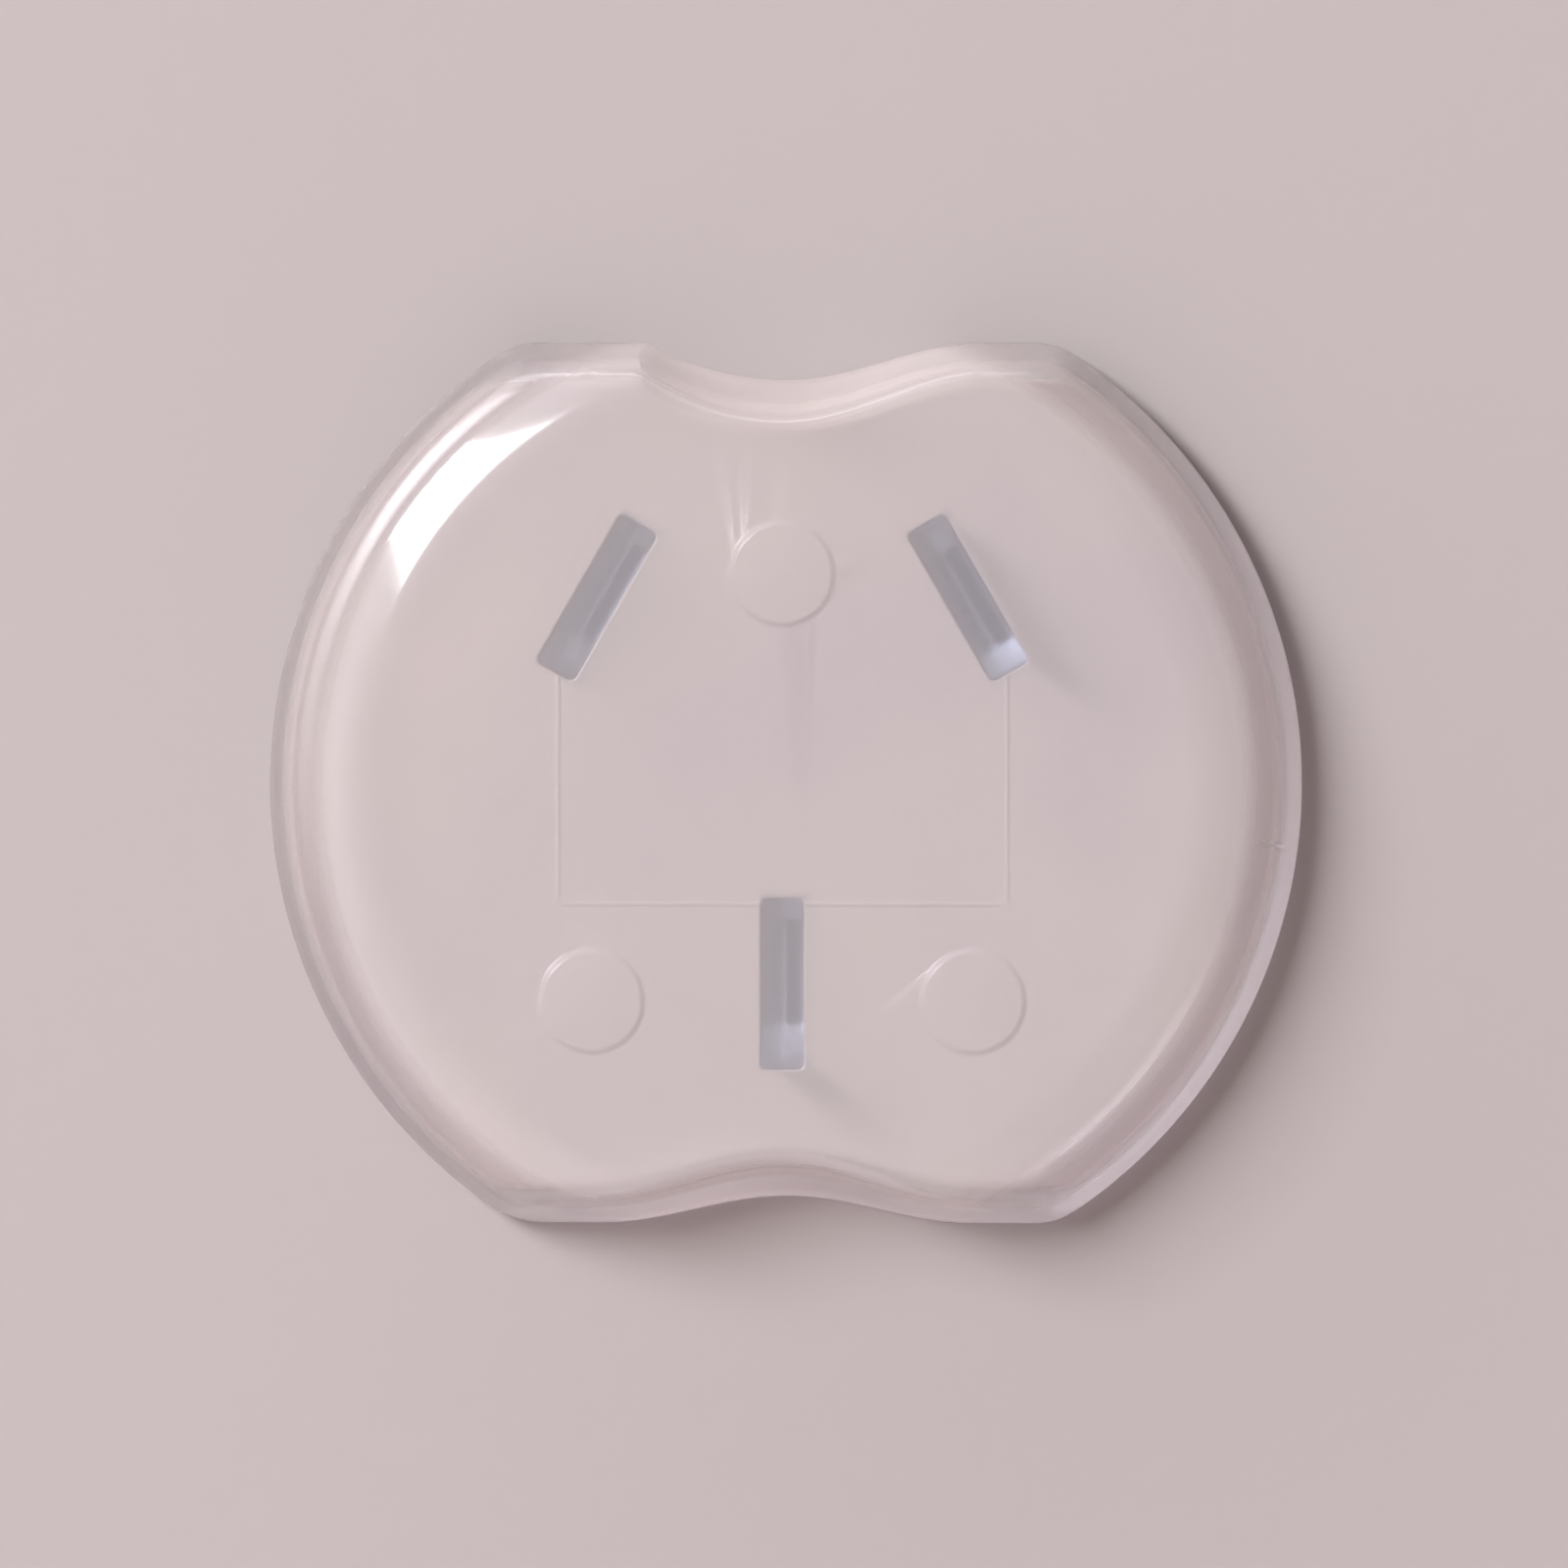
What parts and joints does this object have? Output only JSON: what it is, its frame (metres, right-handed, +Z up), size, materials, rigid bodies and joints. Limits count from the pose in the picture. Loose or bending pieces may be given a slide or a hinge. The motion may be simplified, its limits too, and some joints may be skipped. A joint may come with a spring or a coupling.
{
  "type": "outlet safety cover",
  "caption": "Translucent plug-in cap that blanks off a wall socket: a shallow round cap with finger scoops above and below and flat blades on its back.",
  "frame": {"origin": "centre of the blade pattern, on the plane of the rim's back edge, which seats on the socket", "axes": "+Y along the blades, into the socket, so the face looks along -Y; +Z up; +X to the right as the face is seen"},
  "size_m": [0.0384, 0.021, 0.0328],
  "materials": {
    "clear_moulding": "milky translucent, smooth gloss"
  },
  "bodies": {
    "root": {"outlet_cover": "clear_moulding"}
  },
  "joints": []
}
